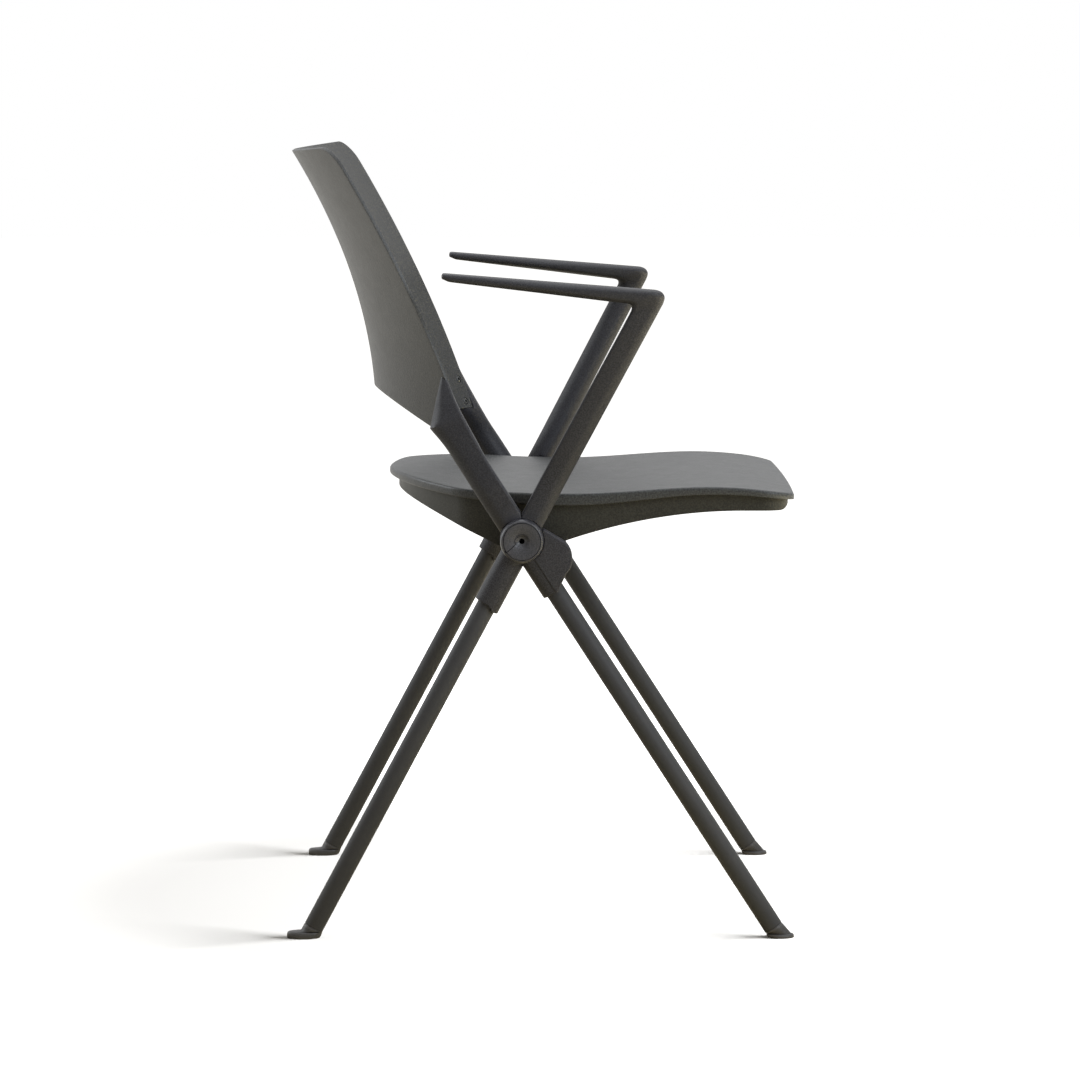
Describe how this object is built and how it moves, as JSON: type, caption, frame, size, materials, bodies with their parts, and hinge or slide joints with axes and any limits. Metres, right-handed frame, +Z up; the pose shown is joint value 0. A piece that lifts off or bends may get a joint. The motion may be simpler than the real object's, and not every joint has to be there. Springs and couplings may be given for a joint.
{
  "type": "tip-up armchair with crossed side frames",
  "caption": "Free-standing armchair: crossed tube legs meet at a hub on each side, outward-leaning arms, a curved back on posts and a seat that tips up about the hub axis.",
  "frame": {"origin": "on the floor, under the middle of the chair's overall box", "axes": "+Z up, front of the chair toward -Y, the sitter's left toward +X"},
  "size_m": [0.6062, 0.5392, 0.8224],
  "materials": {
    "seat_plastic": "fine-grained matte moulding",
    "back_plastic": "fine-grained matte moulding",
    "frame_plastic": "matte glass-filled moulding",
    "powder_coated_tube": "satin black powder coat on steel tube",
    "bush_plastic": "smooth wear plastic",
    "buffer_rubber": "matte rubber",
    "zinc_steel": "zinc-plated steel"
  },
  "bodies": {
    "frame": {"arm_left": "frame_plastic", "arm_right": "frame_plastic", "arm_screw_left": "zinc_steel", "arm_screw_right": "zinc_steel", "back_post_left": "frame_plastic", "back_post_right": "frame_plastic", "back_screw_lower_left": "zinc_steel", "back_screw_lower_right": "zinc_steel", "back_screw_upper_left": "zinc_steel", "back_screw_upper_right": "zinc_steel", "back_shell": "back_plastic", "bracket_screw_left": "zinc_steel", "bracket_screw_right": "zinc_steel", "crossbar": "powder_coated_tube", "crossbar_plug_left": "zinc_steel", "crossbar_plug_right": "zinc_steel", "front_glide_left": "bush_plastic", "front_glide_right": "bush_plastic", "front_leg_left": "powder_coated_tube", "front_leg_right": "powder_coated_tube", "front_leg_screw_left": "zinc_steel", "front_leg_screw_right": "zinc_steel", "hub_cap_left": "frame_plastic", "hub_cap_right": "frame_plastic", "hub_left": "frame_plastic", "hub_right": "frame_plastic", "hub_screw_left": "zinc_steel", "hub_screw_right": "zinc_steel", "post_screw_left": "zinc_steel", "post_screw_right": "zinc_steel", "rear_glide_left": "bush_plastic", "rear_glide_right": "bush_plastic", "rear_leg_left": "powder_coated_tube", "rear_leg_right": "powder_coated_tube", "rear_leg_screw_left": "zinc_steel", "rear_leg_screw_right": "zinc_steel", "stop_bracket_left": "frame_plastic", "stop_bracket_right": "frame_plastic", "stop_buffer_left": "buffer_rubber", "stop_buffer_right": "buffer_rubber"},
    "seat": {"pivot_bush_left": "bush_plastic", "pivot_bush_right": "bush_plastic", "seat_pan": "seat_plastic", "seat_screw_front_left": "zinc_steel", "seat_screw_front_right": "zinc_steel", "seat_screw_rear_left": "zinc_steel", "seat_screw_rear_right": "zinc_steel", "seat_shell": "seat_plastic"}
  },
  "joints": [
    {"name": "seat_tip", "type": "hinge", "parent": "frame", "child": "seat", "pos_m": [0, 0.02345, 0.418], "axis": [-1, 0, 0], "range_deg": [0, 75]}
  ]
}
